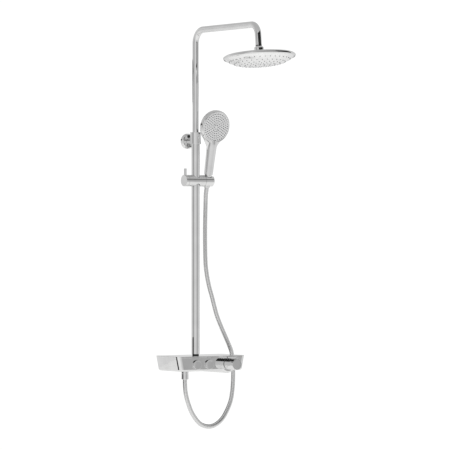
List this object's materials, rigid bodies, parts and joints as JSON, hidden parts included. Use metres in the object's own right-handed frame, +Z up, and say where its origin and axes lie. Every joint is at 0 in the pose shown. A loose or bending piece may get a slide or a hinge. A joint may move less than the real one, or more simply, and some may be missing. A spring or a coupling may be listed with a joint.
{
  "type": "rainfall shower column",
  "caption": "Wall-mounted shower column: shelf mixer with push buttons and temperature knob, telescopic riser, domed overhead shower, hand shower on a slider, and hose.",
  "frame": {"origin": "the wall plane, below the riser's axis at X = 0, at the height of the two water inlets and the temperature knob", "axes": "+Z up along the riser, -Y out of the wall towards the room, +X to the right as seen from the room"},
  "size_m": [0.2796, 0.5018, 1.2622],
  "materials": {
    "chrome": "polished",
    "chromed_plastic": "chrome-plated ABS",
    "brass": "machined",
    "steel": "plain",
    "rubber": "matte",
    "silicone": "soft satin",
    "plastic": "moulded",
    "dark_plastic": "moulded",
    "hose_metal": "wound strip"
  },
  "bodies": {
    "column": {"shelf_housing": "chrome", "shelf_top": "chrome", "valve_body": "brass", "inlet_union_left": "brass", "inlet_union_right": "brass", "inlet_washer_left": "rubber", "inlet_washer_right": "rubber", "inlet_nut_left": "chrome", "inlet_nut_right": "chrome", "riser_nipple": "dark_plastic", "hose_outlet": "brass", "hose_nut_bottom": "chrome", "hose_washer_bottom": "rubber", "shower_hose": "hose_metal", "diverter_cartridge_left": "plastic", "diverter_cartridge_centre": "plastic", "button_spring_left": "steel", "button_spring_centre": "steel", "mixing_cartridge": "plastic", "cartridge_nut": "brass", "knob_sleeve": "chrome", "lower_riser": "chrome", "telescope_bush": "plastic", "bracket_sleeve": "chrome", "bracket_arm": "chrome", "wall_plate": "steel", "wall_screw_left": "steel", "wall_screw_right": "steel", "wall_rosette": "chrome"},
    "temperature_control": {"cartridge_spindle": "brass", "temperature_handle": "chrome", "handle_screw": "steel", "handle_cap": "chromed_plastic", "handle_lever": "chrome"},
    "left_button": {"button_left": "chromed_plastic"},
    "centre_button": {"button_centre": "chromed_plastic"},
    "telescope": {"telescope_guide": "plastic"},
    "overhead_arm": {"upper_riser": "chrome", "arm_washer": "rubber"},
    "head_swivel": {"swivel_ball": "chrome"},
    "overhead_head": {"ball_nut": "chrome", "ball_seal": "rubber", "overhead_shell": "chromed_plastic", "overhead_face": "chromed_plastic", "overhead_nozzle_mat": "silicone"},
    "slider_carriage": {"slider_bush": "plastic"},
    "slider": {"slider_body": "chrome", "holder_pivot": "steel", "holder_washer": "rubber"},
    "slider_lock": {"lock_knob": "chrome", "lock_screw": "steel", "lock_lever": "chrome"},
    "holder": {"hand_shower_holder": "chrome", "holder_liner": "plastic"},
    "hand_shower": {"hand_shower_body": "chromed_plastic", "hand_shower_face": "chromed_plastic", "hand_shower_nozzles": "silicone", "hand_shower_connector": "brass", "hose_nut_top": "chrome", "hose_washer_top": "rubber"}
  },
  "joints": [
    {"name": "temperature_turn", "type": "hinge", "parent": "column", "child": "temperature_control", "pos_m": [0.0635, -0.16, 0], "axis": [0, 1, 0], "range_deg": [-90, 90]},
    {"name": "left_button_press", "type": "slide", "parent": "column", "child": "left_button", "axis": [0, 1, 0], "range_m": [0, 0.003], "stiffness_N_per_m": 500, "springref_m": -0.004, "deforming": ["button_spring_left"]},
    {"name": "centre_button_press", "type": "slide", "parent": "column", "child": "centre_button", "axis": [0, 1, 0], "range_m": [0, 0.003], "stiffness_N_per_m": 500, "springref_m": -0.004, "deforming": ["button_spring_centre"]},
    {"name": "telescope_slide", "type": "slide", "parent": "column", "child": "telescope", "axis": [0, 0, 1], "range_m": [-0.2, 0.09]},
    {"name": "arm_swivel", "type": "hinge", "parent": "telescope", "child": "overhead_arm", "pos_m": [0, -0.048, 0.8], "axis": [0, 0, 1], "range_deg": [-60, 60]},
    {"name": "head_spin", "type": "hinge", "parent": "overhead_arm", "child": "head_swivel", "pos_m": [0, -0.38926, 0.96643], "axis": [0, 0.1045, 0.9945], "continuous": true},
    {"name": "head_tilt", "type": "hinge", "parent": "head_swivel", "child": "overhead_head", "pos_m": [0, -0.38926, 0.96643], "axis": [1, 0, 0], "range_deg": [-12, 12]},
    {"name": "slider_slide", "type": "slide", "parent": "column", "child": "slider_carriage", "axis": [0, 0, 1], "range_m": [-0.3, 0.085], "deforming": ["shower_hose"]},
    {"name": "slider_swivel", "type": "hinge", "parent": "slider_carriage", "child": "slider", "pos_m": [0, -0.048, 0.573], "axis": [0, 0, 1], "range_deg": [-20, 20], "deforming": ["shower_hose"]},
    {"name": "lock_turn", "type": "hinge", "parent": "slider", "child": "slider_lock", "pos_m": [-0.039, -0.048, 0.573], "axis": [1, 0, 0], "range_deg": [0, 80]},
    {"name": "holder_tilt", "type": "hinge", "parent": "slider", "child": "holder", "pos_m": [0.0455, -0.048, 0.573], "axis": [1, 0, 0], "range_deg": [-2, 30], "deforming": ["shower_hose"]},
    {"name": "hand_shower_lift", "type": "slide", "parent": "holder", "child": "hand_shower", "axis": [0, -0.2079, 0.9781], "range_m": [0, 0.06], "deforming": ["shower_hose"]}
  ]
}
